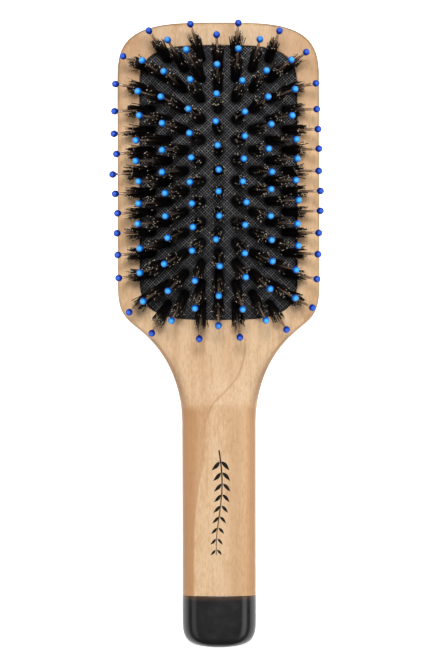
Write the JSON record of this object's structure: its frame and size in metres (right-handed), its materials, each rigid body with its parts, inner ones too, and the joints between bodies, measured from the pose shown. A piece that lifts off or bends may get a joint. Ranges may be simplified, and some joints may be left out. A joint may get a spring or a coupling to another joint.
{
  "type": "vanity hairbrush",
  "caption": "Paddle hairbrush with a pale wood body, black dipped handle end and a domed air cushion carrying splayed bristle tufts and blue ball-tipped pins.",
  "frame": {"origin": "under the middle of the brush, on the surface that the back of the head lies on", "axes": "+X to the right, +Y from the handle towards the head, +Z out of the bristle face"},
  "size_m": [0.0847, 0.25, 0.0484],
  "materials": {
    "pale_wood": "satin varnished pale beech with fine straight grain",
    "black_lacquer": "glossy black dipped lacquer",
    "cushion_rubber": "matt black rubber faced with a fine diagonal weave",
    "dark_bristle": "dark natural bristle with paler tips",
    "blue_tipped_nylon": "clear nylon pin with a glossy blue ball tip"
  },
  "bodies": {
    "paddle": {"wood_body": "pale_wood", "handle_dip": "black_lacquer", "cushion_membrane": "cushion_rubber"},
    "centre_row": {"tuft_row_5": "dark_bristle", "pin_row_5": "blue_tipped_nylon"},
    "inner_rows": {"tuft_row_4": "dark_bristle", "pin_row_4": "blue_tipped_nylon", "tuft_row_6": "dark_bristle", "pin_row_6": "blue_tipped_nylon"},
    "mid_rows": {"tuft_row_3": "dark_bristle", "pin_row_3": "blue_tipped_nylon", "tuft_row_7": "dark_bristle", "pin_row_7": "blue_tipped_nylon"},
    "outer_rows": {"tuft_row_2": "dark_bristle", "pin_row_2": "blue_tipped_nylon", "tuft_row_8": "dark_bristle", "pin_row_8": "blue_tipped_nylon"},
    "edge_rows": {"tuft_row_1": "dark_bristle", "pin_row_1": "blue_tipped_nylon", "tuft_row_9": "dark_bristle", "pin_row_9": "blue_tipped_nylon"}
  },
  "joints": [
    {"name": "centre_row_press", "type": "slide", "parent": "paddle", "child": "centre_row", "axis": [0, 0, -1], "range_m": [0, 0.004], "stiffness_N_per_m": 400, "springref_m": -0.001, "deforming": ["cushion_membrane"]},
    {"name": "inner_rows_press", "type": "slide", "parent": "paddle", "child": "inner_rows", "axis": [0, 0, -1], "range_m": [0, 0.0038], "stiffness_N_per_m": 400, "springref_m": -0.001},
    {"name": "mid_rows_press", "type": "slide", "parent": "paddle", "child": "mid_rows", "axis": [0, 0, -1], "range_m": [0, 0.0034], "stiffness_N_per_m": 400, "springref_m": -0.001},
    {"name": "outer_rows_press", "type": "slide", "parent": "paddle", "child": "outer_rows", "axis": [0, 0, -1], "range_m": [0, 0.0024], "stiffness_N_per_m": 400, "springref_m": -0.001},
    {"name": "edge_rows_press", "type": "slide", "parent": "paddle", "child": "edge_rows", "axis": [0, 0, -1], "range_m": [0, 0.0011], "stiffness_N_per_m": 400, "springref_m": -0.001}
  ],
  "couplings": [
    {"joint": "inner_rows_press", "follows": "centre_row_press", "ratio": 0.95},
    {"joint": "mid_rows_press", "follows": "centre_row_press", "ratio": 0.85},
    {"joint": "outer_rows_press", "follows": "centre_row_press", "ratio": 0.6},
    {"joint": "edge_rows_press", "follows": "centre_row_press", "ratio": 0.275}
  ]
}
